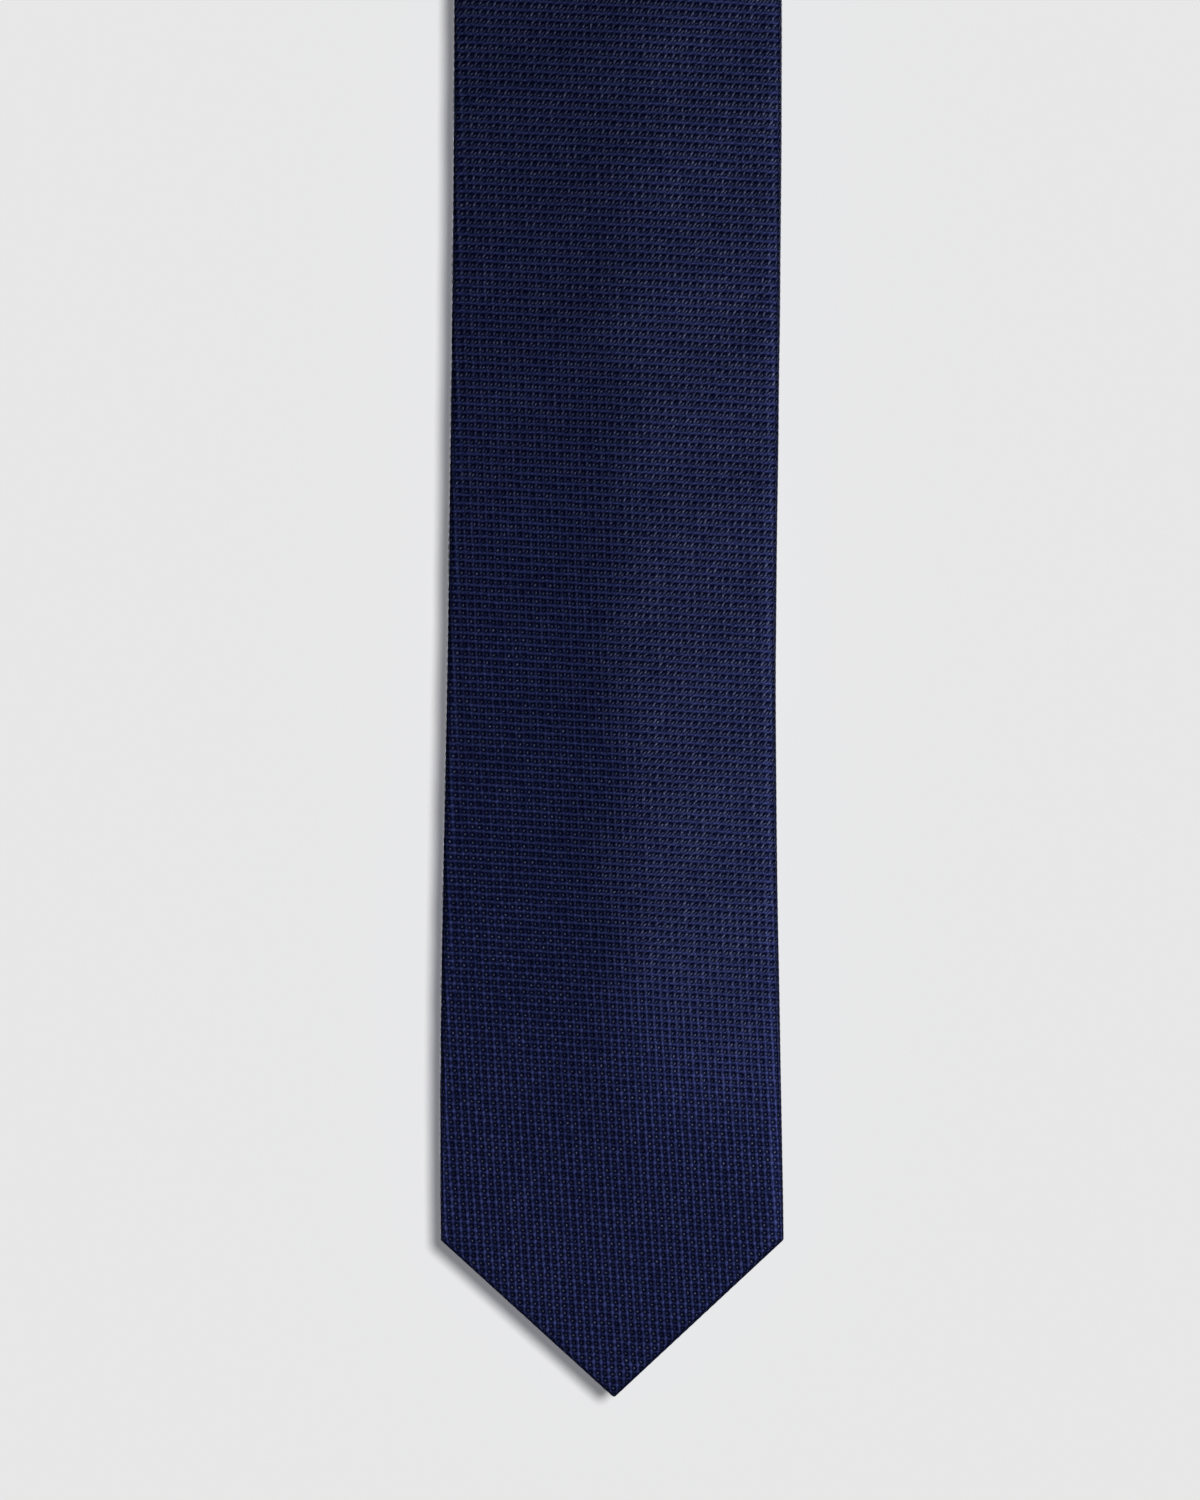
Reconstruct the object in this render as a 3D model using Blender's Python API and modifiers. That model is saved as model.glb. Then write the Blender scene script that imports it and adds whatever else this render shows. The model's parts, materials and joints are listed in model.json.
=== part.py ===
"""A necktie folded once at the neck, as it hangs over a round rail.

The rail's axis lies along X. The blade hangs in front of it with its face to -Y, and the narrower tail
hangs behind it with its face to +Y. The origin is the top of the rail, under the neck's inner face.

A place on the tie is given as (s, x, t): s along it from the blade's tip, x across it, and t out from its
inner face, which touches the rail. Cloth that is folded round also has u, its distance from the middle
once it is unfolded.
"""

import math

import bmesh
import bpy

# Driving sizes, in metres
BLADE_WIDTH = 0.070
BLADE_TIP_HEIGHT = 0.0322
NECK_WIDTH = 0.036
TAIL_WIDTH = 0.038
TAIL_TIP_HEIGHT = 0.0175
BLADE_HANG = 0.880
TAIL_HANG = 0.600
RAIL_RADIUS = 0.004

# Layers, from the inner face outwards
CLOTH = 0.0005
PADDING = 0.0013
LINING = 0.00025
GAP = 0.0003
OVER_FLAP = CLOTH / 2
UNDER_FLAP = OVER_FLAP + CLOTH + GAP
TIPPING_LEVEL = UNDER_FLAP + CLOTH / 2 + GAP + LINING / 2
PADDING_LEVEL = TIPPING_LEVEL + LINING / 2 + GAP + PADDING / 2
FACE_LEVEL = PADDING_LEVEL + PADDING / 2 + GAP + CLOTH / 2
THICKNESS = FACE_LEVEL + CLOTH / 2
PADDING_INSET = 0.0026
TIPPING_INSET = 0.0030

# The path over the rail
BEND_RADIUS = RAIL_RADIUS + THICKNESS / 2
BLADE_STRAIGHT = BLADE_HANG - RAIL_RADIUS
TAIL_STRAIGHT = TAIL_HANG - RAIL_RADIUS
BEND_LENGTH = math.pi * BEND_RADIUS
TOTAL_LENGTH = BLADE_STRAIGHT + BEND_LENGTH + TAIL_STRAIGHT
BEND_STEPS = 8

# The blade narrows a little above its corners, runs straight, then tapers to the neck
BLADE_WAIST = 0.067
WAIST_FROM = 0.033
WAIST_TO = 0.165
TAPER_FROM = 0.270
TAPER_TO = 0.740
TAIL_TAPER_TO = 0.300

# Flaps and hems on the back
FLAP_OVERLAP = 0.005
FLAP_RAMP_FROM = 0.43
FLAP_RAMP_TO = 0.86

# Seams across the tie, on the bias
SEAM_SLOPE = 1.0
SEAM_GAP = 0.0014
BLADE_SEAM = 0.740
TAIL_SEAM = 1.005
SHEAR_LENGTH = 0.060
PADDING_JOIN = 0.955
JOIN_GAP = 0.0010

# Threads
THREAD = 0.00035
TACK_THREAD = 0.0004
SLIP_STITCH_OUT = 0.00035

# The loop on the blade's back that holds the tail
KEEPER_LOW = 0.1375
KEEPER_HIGH = 0.1495
KEEPER_CLOTH = 0.0008
KEEPER_ROOM = 0.0048
KEEPER_FOOT_OUTER = 0.031
KEEPER_FOOT_INNER = 0.0275
KEEPER_CROWN = 0.0205
KEEPER_TACK_AT = 0.0293

# Labels on the blade's back
LABEL_LOW = 0.172
LABEL_HIGH = 0.194
LABEL_WIDTH = 0.050
LABEL_CLOTH = 0.0004
CARE_LENGTH = 0.020
CARE_WIDTH = 0.020
CARE_CLOTH = 0.0003
CARE_GAP = 0.0005

NAVY = (0.012, 0.015, 0.045, 1.0)
NAVY_LINING = (0.010, 0.012, 0.030, 1.0)
NATURAL_WOOL = (0.62, 0.58, 0.50, 1.0)
NAVY_THREAD = (0.016, 0.020, 0.060, 1.0)
LABEL_BLACK = (0.020, 0.020, 0.024, 1.0)
LABEL_WHITE = (0.80, 0.79, 0.76, 1.0)


def smooth(start, end, value):
    """0 before start, 1 after end, and an even curve between them."""
    share = min(max((value - start) / (end - start), 0.0), 1.0)
    return share * share * (3 - 2 * share)


def on_path(s, x, t):
    """The point in space of a place on the tie."""
    radius = RAIL_RADIUS + t
    turn = min(max((s - BLADE_STRAIGHT) / BEND_RADIUS, 0.0), math.pi)
    below = max(BLADE_STRAIGHT - s, s - BLADE_STRAIGHT - BEND_LENGTH, 0.0)
    return (x, -radius * math.cos(turn), -RAIL_RADIUS + radius * math.sin(turn) - below)


def on_tail(s, x, t):
    """The point in space of a place on the tail, with s from the tail's own tip."""
    return on_path(TOTAL_LENGTH - s, x, t)


def blade_half_width(s):
    waist = BLADE_WIDTH - (BLADE_WIDTH - BLADE_WAIST) * smooth(WAIST_FROM, WAIST_TO, s)
    return (waist - (BLADE_WAIST - NECK_WIDTH) * smooth(TAPER_FROM, TAPER_TO, s)) / 2


def tail_half_width(s):
    return (TAIL_WIDTH - (TAIL_WIDTH - NECK_WIDTH) * smooth(0.0, TAIL_TAPER_TO, s)) / 2


class TieEnd:
    """What differs between the blade and the tail."""

    def __init__(self, place, half_width, width, tip_height, hem, open_to, rows, seam, slope):
        self.place = place
        self.half_width = half_width
        self.half = width / 2
        self.tip_height = tip_height
        self.hem = hem
        self.open_to = open_to
        self.rows = rows
        self.seam = seam
        self.slope = slope
        self.tip_angle = math.atan2(self.half, tip_height)
        self.face_inset = THICKNESS / 2

    def tip(self, inset):
        """Where the tip of the outline drawn in by inset lies. The outer tip is rounded, and lies at 0."""
        rounding = self.face_inset / math.sin(self.tip_angle) - self.face_inset
        return inset / math.sin(self.tip_angle) - rounding

    def corner(self, inset):
        """(x, s) of the corner of the outline drawn in by inset."""
        x = self.half - inset
        return x, self.tip(inset) + x / math.tan(self.tip_angle)

    def flap_level(self, side, s):
        """The flap from -X goes under the other one, and comes up level with it towards the tip."""
        if side > 0:
            return OVER_FLAP
        share = smooth(FLAP_RAMP_FROM * self.open_to, FLAP_RAMP_TO * self.open_to, s)
        return OVER_FLAP + (UNDER_FLAP - OVER_FLAP) * share

    def flap_edge(self, s):
        """How far from the middle the flap's edge is, on its own side. It is negative past the middle."""
        x, low = self.corner(self.hem)
        return max(x * (self.open_to - s) / (self.open_to - low), -FLAP_OVERLAP)


BLADE = TieEnd(
    on_path,
    blade_half_width,
    BLADE_WIDTH,
    BLADE_TIP_HEIGHT,
    hem=0.010,
    open_to=0.105,
    rows=(0.046, 0.060, 0.075, 0.090, 0.105, 0.115, 0.165, 0.270, 0.350, 0.425, 0.500, 0.580, 0.680),
    seam=BLADE_SEAM - SEAM_GAP / 2,
    slope=SEAM_SLOPE,
)
TAIL = TieEnd(
    on_tail,
    tail_half_width,
    TAIL_WIDTH,
    TAIL_TIP_HEIGHT,
    hem=0.007,
    open_to=0.062,
    rows=(0.027, 0.036, 0.045, 0.054, 0.062, 0.075, 0.150, 0.300, 0.420),
    seam=TOTAL_LENGTH - TAIL_SEAM - SEAM_GAP / 2,
    slope=-SEAM_SLOPE,
)


def folded_half(side, reach, s, angle, edge, level):
    """Half a row of folded cloth as (s, x, t, u), from the middle of the face round to the flap's edge.

    reach is where the face starts to roll, angle turns the roll from sideways to downwards, and edge is
    the (x, s) where the flap ends.
    """
    radius = (FACE_LEVEL - level) / 2
    points = [(s, side * reach * share, FACE_LEVEL, side * reach * share) for share in (0.0, 0.5)]
    for step in range(5):
        turn = math.pi * step / 4
        out = radius * math.sin(turn)
        x = side * (reach + out * math.cos(angle))
        t = level + radius * (1 + math.cos(turn))
        points.append((s - out * math.sin(angle), x, t, side * (reach + radius * turn)))
    for share in (0.5, 1.0):
        x = reach + (edge[0] - reach) * share
        u = side * (reach + math.pi * radius + reach - x)
        points.append((s + (edge[1] - s) * share, side * x, level, u))
    return points


def folded_row(reaches, s, angle, edge, levels, shear=0.0):
    """A whole row from the flap's edge at -X to the one at +X, its two halves joined in the middle."""
    left = folded_half(-1, reaches[0], s, angle, edge, levels[0])
    right = folded_half(1, reaches[1], s, angle, edge, levels[1])
    row = left[::-1] + right[1:]
    return [(point_s + shear * u, x, t, u) for point_s, x, t, u in row]


def roll_reach(half_width, level):
    """Where the face starts to roll, so that the rolled edge's outside lies at half_width."""
    return half_width - (FACE_LEVEL - level + CLOTH) / 2


def side_row(end, s, shear=0.0):
    levels = [end.flap_level(side, s) for side in (-1, 1)]
    reaches = [roll_reach(end.half_width(s), level) for level in levels]
    return folded_row(reaches, s, 0.0, (end.flap_edge(s), s), levels, shear)


def gusset_row(s, shear=0.0):
    levels = (UNDER_FLAP, OVER_FLAP)
    reaches = [roll_reach(NECK_WIDTH / 2, level) for level in levels]
    return folded_row(reaches, s, 0.0, (-FLAP_OVERLAP, s), levels, shear)


def new_material(name, colour, roughness):
    material = bpy.data.materials.new(name)
    material.use_nodes = True
    shader = material.node_tree.nodes["Principled BSDF"]
    shader.inputs["Base Color"].default_value = colour
    shader.inputs["Roughness"].default_value = roughness
    shader.inputs["Metallic"].default_value = 0.0
    material.diffuse_color = colour
    return material


def sheet_object(name, rows, thickness, material):
    """Cloth of one thickness on rows of points in space. Points that coincide become one."""
    mesh = bpy.data.meshes.new(name)
    grid = bmesh.new()
    verts = [[grid.verts.new(point) for point in row] for row in rows]
    for lower, upper in zip(verts, verts[1:]):
        for a, b, c, d in zip(lower, lower[1:], upper[1:], upper):
            grid.faces.new((a, b, c, d))
    bmesh.ops.remove_doubles(grid, verts=grid.verts, dist=1e-6)
    bmesh.ops.recalc_face_normals(grid, faces=grid.faces)
    grid.to_mesh(mesh)
    grid.free()
    mesh.materials.append(material)
    mesh.shade_smooth()
    mesh.set_sharp_from_angle(angle=math.radians(50))
    sheet = bpy.data.objects.new(name, mesh)
    COLLECTION.objects.link(sheet)
    solid = sheet.modifiers.new("cloth thickness", "SOLIDIFY")
    solid.thickness = thickness
    solid.offset = 0.0
    solid.use_rim = True
    return sheet


def thread_object(name, points, diameter, material):
    """A round thread through points in space."""
    curve = bpy.data.curves.new(name, "CURVE")
    curve.dimensions = "3D"
    curve.bevel_depth = diameter / 2
    curve.bevel_resolution = 2
    curve.use_fill_caps = True
    spline = curve.splines.new("POLY")
    spline.points.add(len(points) - 1)
    for point, place in zip(spline.points, points):
        point.co = (*place, 1.0)
    curve.materials.append(material)
    thread = bpy.data.objects.new(name, curve)
    COLLECTION.objects.link(thread)
    return thread


def in_space(place, row):
    return [place(s, x, t) for s, x, t, _ in row]


def make_end_shell(name, end):
    """The folded cloth of the blade or the tail, in one piece from its tip to its seam."""
    tip_x, tip_s = 0.0, end.tip(end.face_inset)
    corner_x, corner_s = end.corner(end.face_inset)
    hem_tip = (0.0, end.tip(end.hem))
    hem_corner = end.corner(end.hem)
    diagonal = end.tip_angle
    levels = (OVER_FLAP, OVER_FLAP)
    rows = []
    for angle in (math.pi / 2, (math.pi / 2 + diagonal) / 2, diagonal):
        rows.append(folded_row((tip_x, tip_x), tip_s, angle, hem_tip, levels))
    for share in (1 / 3, 2 / 3):
        reach = corner_x * share
        s = tip_s + (corner_s - tip_s) * share
        edge = [low + (high - low) * share for low, high in zip(hem_tip, hem_corner)]
        rows.append(folded_row((reach, reach), s, diagonal, edge, levels))
    for angle in (diagonal, diagonal / 2, 0.0):
        rows.append(folded_row((corner_x, corner_x), corner_s, angle, hem_corner, levels))
    rows.extend(side_row(end, s) for s in end.rows)
    rows.append(side_row(end, end.seam, end.slope))
    sheet_object(name, [in_space(end.place, row) for row in rows], CLOTH, CLOTH_MATERIAL)


def bend_places():
    return [BLADE_STRAIGHT + BEND_LENGTH * step / BEND_STEPS for step in range(BEND_STEPS + 1)]


def make_gusset():
    """The short piece round the back of the neck, which bends over the rail."""
    rows = [gusset_row(BLADE_SEAM + SEAM_GAP / 2, SEAM_SLOPE)]
    rows.append(gusset_row(BLADE_SEAM + SHEAR_LENGTH))
    rows.extend(gusset_row(s) for s in bend_places())
    rows.append(gusset_row(TAIL_SEAM - SHEAR_LENGTH))
    rows.append(gusset_row(TAIL_SEAM - SEAM_GAP / 2, SEAM_SLOPE))
    sheet_object("neck_gusset_shell", [in_space(on_path, row) for row in rows], CLOTH, CLOTH_MATERIAL)


def flat_rows(end, inset, level, sides, place):
    """Rows of a flat layer inside the tie: its pointed end, then straight rows at each s in sides."""
    corner_x, corner_s = end.corner(inset)
    spans = [(end.tip(inset), 0.0), (corner_s, corner_x)]
    spans.extend((s, end.half_width(s) - inset) for s in sides)
    return [[place(s, half * share, level) for share in (-1.0, 0.0, 1.0)] for s, half in spans]


def make_padding():
    """The interlining that gives the tie its body: a long front piece over the bend, and a tail piece."""
    sides = [*BLADE.rows[1:], BLADE_SEAM, *bend_places(), PADDING_JOIN - JOIN_GAP / 2]
    rows = flat_rows(BLADE, PADDING_INSET, PADDING_LEVEL, sides, on_path)
    sheet_object("front_interlining", rows, PADDING, PADDING_MATERIAL)
    join = TOTAL_LENGTH - PADDING_JOIN - JOIN_GAP / 2
    rows = flat_rows(TAIL, PADDING_INSET, PADDING_LEVEL, [*TAIL.rows[1:], join], on_tail)
    sheet_object("tail_interlining", rows, PADDING, PADDING_MATERIAL)
    half = NECK_WIDTH / 2 - PADDING_INSET
    points = [on_path(PADDING_JOIN, x, PADDING_LEVEL) for x in (-half, half)]
    thread_object("interlining_join_stitch", points, THREAD, THREAD_MATERIAL)


def make_tipping(name, end, top):
    """The lining that shows on the back between the flaps."""
    rows = flat_rows(end, TIPPING_INSET, TIPPING_LEVEL, [end.open_to, top], end.place)
    sheet_object(name, rows, LINING, LINING_MATERIAL)


def make_tip_seam(name, end):
    """The thread along the inner edge of the hem, which holds the tipping to it."""
    inset = end.hem + GAP + THREAD / 2
    x, s = end.corner(inset)
    low = end.tip(inset)
    level = (OVER_FLAP + TIPPING_LEVEL) / 2
    points = [end.place(s, -x, level), end.place(low, 0.0, level), end.place(s, x, level)]
    thread_object(name, points, THREAD, THREAD_MATERIAL)


def make_cross_seam(name, s):
    """The thread of a seam across the tie, from flap edge to flap edge round the face."""
    points = in_space(on_path, gusset_row(s, SEAM_SLOPE))
    thread_object(name, points, THREAD, THREAD_MATERIAL)


def make_slip_stitch():
    """One loose thread beside the upper flap's edge, from bar tack to bar tack over the neck."""
    x = -FLAP_OVERLAP - GAP - THREAD / 2
    places = [BLADE.open_to + 0.012, BLADE_SEAM, *bend_places(), TAIL_SEAM]
    places.append(TOTAL_LENGTH - TAIL.open_to - 0.012)
    points = [on_path(s, x, SLIP_STITCH_OUT) for s in places]
    thread_object("slip_stitch_thread", points, THREAD, THREAD_MATERIAL)


def zigzag(count, length, width):
    """(along, across) of a zigzag's points, with its middle at 0."""
    for step in range(count):
        yield length * (step / (count - 1) - 0.5), width * (0.5 if step % 2 else -0.5)


def make_bar_tack(name, end):
    """A short dense stitch that stops the back opening from splitting."""
    level = -GAP - TACK_THREAD / 2
    s = end.open_to + 0.004
    points = [end.place(s + across, along, level) for along, across in zigzag(9, 0.0096, 0.0024)]
    thread_object(name, points, TACK_THREAD, THREAD_MATERIAL)


def keeper_level(x):
    """How far out the middle of the keeper loop's cloth stands at x."""
    foot = -GAP - KEEPER_CLOTH / 2
    return foot - KEEPER_ROOM * (1 - smooth(KEEPER_CROWN, KEEPER_FOOT_INNER, abs(x)))


def make_keeper():
    half = [0.0, 0.007, 0.014]
    ramp = KEEPER_FOOT_INNER - KEEPER_CROWN
    half.extend(KEEPER_CROWN + ramp * step / 5 for step in range(6))
    half.append(KEEPER_FOOT_OUTER)
    across = [-x for x in half[:0:-1]] + half
    middle = (KEEPER_LOW + KEEPER_HIGH) / 2
    rows = [[on_path(s, x, keeper_level(x)) for x in across] for s in (KEEPER_LOW, middle, KEEPER_HIGH)]
    sheet_object("keeper_loop", rows, KEEPER_CLOTH, CLOTH_MATERIAL)
    level = -GAP - KEEPER_CLOTH - GAP - TACK_THREAD / 2
    for side, word in ((-1, "left"), (1, "right")):
        x = side * KEEPER_TACK_AT
        points = [on_path(middle + along, x + across_x, level) for along, across_x in zigzag(7, 0.008, 0.002)]
        thread_object(f"keeper_loop_tack_{word}", points, TACK_THREAD, THREAD_MATERIAL)


def label_rows(low, high, width, level):
    return [[on_path(s, width * share, level) for share in (-0.5, 0.0, 0.5)] for s in (low, high)]


def make_labels():
    """A blank woven label sewn at its two ends, and a blank care label that hangs from its lower edge."""
    level = -GAP - LABEL_CLOTH / 2
    rows = label_rows(LABEL_LOW, LABEL_HIGH, LABEL_WIDTH, level)
    sheet_object("woven_label", rows, LABEL_CLOTH, LABEL_MATERIAL)
    stitch_level = -GAP - LABEL_CLOTH - GAP - THREAD / 2
    for side, word in ((-1, "left"), (1, "right")):
        x = side * (LABEL_WIDTH / 2 - 0.0015)
        points = [on_path(s, x, stitch_level) for s in (LABEL_LOW + 0.0045, LABEL_HIGH - 0.001)]
        thread_object(f"woven_label_stitch_{word}", points, THREAD, THREAD_MATERIAL)
    care_top = LABEL_LOW - CARE_GAP
    rows = label_rows(care_top - CARE_LENGTH, care_top, CARE_WIDTH, level)
    sheet_object("care_label", rows, CARE_CLOTH, CARE_MATERIAL)
    points = [on_path(LABEL_LOW + 0.002, x, stitch_level) for x in (-CARE_WIDTH / 2, CARE_WIDTH / 2)]
    thread_object("care_label_stitch", points, THREAD, THREAD_MATERIAL)


for old in list(bpy.data.objects):
    bpy.data.objects.remove(old, do_unlink=True)

COLLECTION = bpy.data.collections.new("necktie")
bpy.context.scene.collection.children.link(COLLECTION)

CLOTH_MATERIAL = new_material("navy_silk_weave", NAVY, 0.6)
LINING_MATERIAL = new_material("navy_satin_tipping", NAVY_LINING, 0.35)
PADDING_MATERIAL = new_material("wool_interlining", NATURAL_WOOL, 0.95)
THREAD_MATERIAL = new_material("navy_thread", NAVY_THREAD, 0.5)
LABEL_MATERIAL = new_material("woven_label_satin", LABEL_BLACK, 0.45)
CARE_MATERIAL = new_material("care_label_satin", LABEL_WHITE, 0.5)

make_end_shell("front_blade_shell", BLADE)
make_end_shell("tail_blade_shell", TAIL)
make_gusset()
make_padding()
make_tipping("front_tipping", BLADE, top=0.160)
make_tipping("tail_tipping", TAIL, top=0.100)
make_tip_seam("front_tip_seam_thread", BLADE)
make_tip_seam("tail_tip_seam_thread", TAIL)
make_cross_seam("blade_gusset_seam_thread", BLADE_SEAM)
make_cross_seam("gusset_tail_seam_thread", TAIL_SEAM)
make_slip_stitch()
make_bar_tack("front_bar_tack", BLADE)
make_bar_tack("tail_bar_tack", TAIL)
make_keeper()
make_labels()
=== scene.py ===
"""The looks of a navy silk necktie that hangs folded over a rail, its blade in front and its tail behind.

A place on the tie is given as in the CAD: s along it from the blade's tip, x across it, t out from its inner
face, and u across the cloth once it is unfolded. Cloth is built as rows of such places, and its UV map holds
u and s in metres, so that the weave runs round the folds as real cloth does.
"""

import json
import math

import bmesh
import bpy
import numpy as np
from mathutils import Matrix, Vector


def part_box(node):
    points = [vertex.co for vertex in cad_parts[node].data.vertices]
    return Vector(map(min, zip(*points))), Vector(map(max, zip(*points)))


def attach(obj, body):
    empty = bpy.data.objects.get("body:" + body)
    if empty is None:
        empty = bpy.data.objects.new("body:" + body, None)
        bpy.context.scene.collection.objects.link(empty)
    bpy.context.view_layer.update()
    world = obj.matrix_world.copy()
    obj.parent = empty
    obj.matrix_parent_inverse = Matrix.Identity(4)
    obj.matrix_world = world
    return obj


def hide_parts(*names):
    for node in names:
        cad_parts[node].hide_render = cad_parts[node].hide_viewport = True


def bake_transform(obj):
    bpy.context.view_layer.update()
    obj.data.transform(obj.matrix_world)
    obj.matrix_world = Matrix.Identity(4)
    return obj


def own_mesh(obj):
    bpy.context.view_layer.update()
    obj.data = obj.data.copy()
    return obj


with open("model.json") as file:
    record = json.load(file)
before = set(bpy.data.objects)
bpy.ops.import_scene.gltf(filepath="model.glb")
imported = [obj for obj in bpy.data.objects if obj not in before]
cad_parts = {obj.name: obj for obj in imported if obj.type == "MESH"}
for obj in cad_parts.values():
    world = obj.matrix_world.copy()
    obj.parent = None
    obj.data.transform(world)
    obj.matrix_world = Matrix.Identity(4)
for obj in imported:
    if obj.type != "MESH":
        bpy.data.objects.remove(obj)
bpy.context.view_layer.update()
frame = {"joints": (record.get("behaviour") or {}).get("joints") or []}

# Sizes that the frame gives
BLADE_LOW, BLADE_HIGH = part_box("front_blade_shell")
TAIL_LOW, TAIL_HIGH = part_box("tail_blade_shell")
GUSSET_LOW, GUSSET_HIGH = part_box("neck_gusset_shell")
KEEPER_LOW, KEEPER_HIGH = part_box("keeper_loop")
LABEL_LOW, LABEL_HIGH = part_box("woven_label")
CARE_LOW, CARE_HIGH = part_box("care_label")
NECK_FOLD = next(joint for joint in frame["joints"] if joint["name"] == "neck_fold")
RAIL_RADIUS = -NECK_FOLD["pos_m"][2]
THICKNESS = -BLADE_LOW.y - RAIL_RADIUS
BLADE_WIDTH = BLADE_HIGH.x - BLADE_LOW.x
TAIL_WIDTH = TAIL_HIGH.x - TAIL_LOW.x
NECK_WIDTH = GUSSET_HIGH.x - GUSSET_LOW.x
BLADE_HANG = -BLADE_LOW.z
TAIL_HANG = -TAIL_LOW.z

# Layers of the tie, from its inner face outwards
CLOTH = 0.0005
PADDING = 0.0013
LINING = 0.00025
GAP = 0.0003
OVER_FLAP = CLOTH / 2
UNDER_FLAP = OVER_FLAP + CLOTH + GAP
TIPPING_LEVEL = UNDER_FLAP + CLOTH / 2 + GAP + LINING / 2
PADDING_LEVEL = TIPPING_LEVEL + LINING / 2 + GAP + PADDING / 2
FACE_LEVEL = PADDING_LEVEL + PADDING / 2 + GAP + CLOTH / 2
PADDING_INSET = 0.0026
TIPPING_INSET = 0.0030
THREAD = 0.00035
TACK_THREAD = 0.0004

# The path over the rail
BEND_CLEARANCE = 0.00005
BEND_RADIUS = RAIL_RADIUS + THICKNESS / 2
BEND_LENGTH = math.pi * BEND_RADIUS
BLADE_STRAIGHT = BLADE_HANG - RAIL_RADIUS
TOTAL_LENGTH = BLADE_STRAIGHT + BEND_LENGTH + TAIL_HANG - RAIL_RADIUS

# Places along the tie
BLADE_TIP_HEIGHT = 0.0322
TAIL_TIP_HEIGHT = 0.0175
BLADE_WAIST = 0.067
WAIST_FROM, WAIST_TO = 0.033, 0.165
TAPER_FROM, TAPER_TO = 0.270, 0.740
TAIL_TAPER_TO = 0.300
BLADE_SEAM = 0.740
TAIL_SEAM = 1.005
SEAM_GROOVE = 0.0005
SEAM_DIP = 0.00035
DIP_BEFORE = 0.35
DIP_FADE = 0.001
SHEAR_LENGTH = 0.060
PADDING_FROM = 0.034
TAIL_PADDING_FROM = 0.018
PADDING_JOIN = 0.955
JOIN_GAP = 0.0005
FLAP_OVERLAP = 0.005
FLAP_RAMP = (0.43, 0.86)
MITRE_FADE = 0.020
FRONT_TIPPING_TO = 0.160
TAIL_TIPPING_TO = 0.100

# How soft cloth differs from the plain solids: all of it stays within a millimetre or two of them
TIGHT_ROLL = 0.0008
TIP_ROUNDING = 0.0005
SOFT_ROLL_OUT = 0.0024
SOFT_ROLL = (0.040, 0.090)
BOW = 0.0008
BOW_LENGTH = 0.380
BOW_FADES = (0.300, 0.460)
RIDGE_AT = 0.0030
RIDGE_TOP = 0.00168
RIDGE_SOFTNESS = 0.006
RISE_LEFT = 0.020
FALL_RIGHT = 0.080
CREASE_AT = -0.0050
CREASE_STEP = 0.00015
CREASE_SOFTNESS = 0.0050
CROWN = 0.62
NECK_CROWN = 0.35
CROWN_RISE = (0.025, 0.070)
CROWN_FALL_FROM = 0.350
SWELL = 0.50
SWELL_AT = 0.085
SWELL_LENGTH = 0.065
RIPPLE_RISE = (0.020, 0.060)
TAIL_CROWN_RISE = (0.006, 0.060)
LONG_WAVE = (0.00012, 0.061, 0.110, 1.3)
SHORT_WAVE = (0.00006, 0.027, -0.049, 0.4)
PUCKER = 0.00009
PUCKER_LENGTH = 0.0075
PUCKER_WIDTH = 0.021
SCALLOP = 0.00010

# The weave, in cells to the millimetre
CELL_ACROSS = 0.672
CELL_LEAN = 0.033
ROW_LEAN = 0.0526
LEAN_LOST = 0.0019
ROWS_AT_TIP = 0.687
ROWS_LOST = 0.0005
STRETCH_TO = 255.0
ROWS_ABOVE = ROWS_AT_TIP - ROWS_LOST * STRETCH_TO

MM = 1000.0

# How finely the cloth is divided. Rows are FINE_ROWS to a row of the weave where they show most.
FACE_STEPS = 15
ROLL_STEPS = 8
FLAP_STEPS = 9
TIP_STEPS = 11
CORNER_STEPS = 7
FINE_ROWS = 3
FINE_TO = 0.300
TAIL_FINE_TO = 0.075
TAIL_STEP = 0.0005
PLAIN_STEP = 0.0035
INSIDE_STEP = 0.003
BEND_STEP = 0.0005
INSIDE_BEND_STEP = 0.0006
LINING_STEP = 0.0012
BEFORE_SEAM = 0.003
SEAM_ROWS = (0.0012, 0.0004, 0.0)
SHARP = math.radians(50)
THREAD_SHARP = math.radians(60)

# The keeper loop and the labels
KEEPER_CLOTH = 0.0008
KEEPER_CROWN = 0.0185
KEEPER_FOOT = 0.0280
KEEPER_WAIST = 0.0004
KEEPER_PUFF = 0.00025
KEEPER_TACK_AT = 0.0293
LABEL_CLOTH = 0.0004
CARE_CLOTH = 0.0003
LABEL_RISE = 0.0003
CARE_CURL = 0.0008
CARE_CORNER_CURL = 0.0002

# The stage, its light and the camera
PAPER = (0.799, 0.799, 0.799)
WALL_COLOUR = (0.80, 0.80, 0.80)
WALL_LIGHT = 3.17
ROOM_LIGHT = 0.02
WALL_Y = 0.012
FLOOR_BELOW_TIP = 0.120
STAGE_SIZE = 6.0
CAMERA_X = -0.00285
CAMERA_ABOVE_TIP = 0.13135
CAMERA_DISTANCE = 0.848


def smooth(start, end, value):
    """0 before start, 1 after end, and an even curve between them."""
    share = np.clip((value - start) / (end - start), 0.0, 1.0)
    return share * share * (3 - 2 * share)


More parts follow.
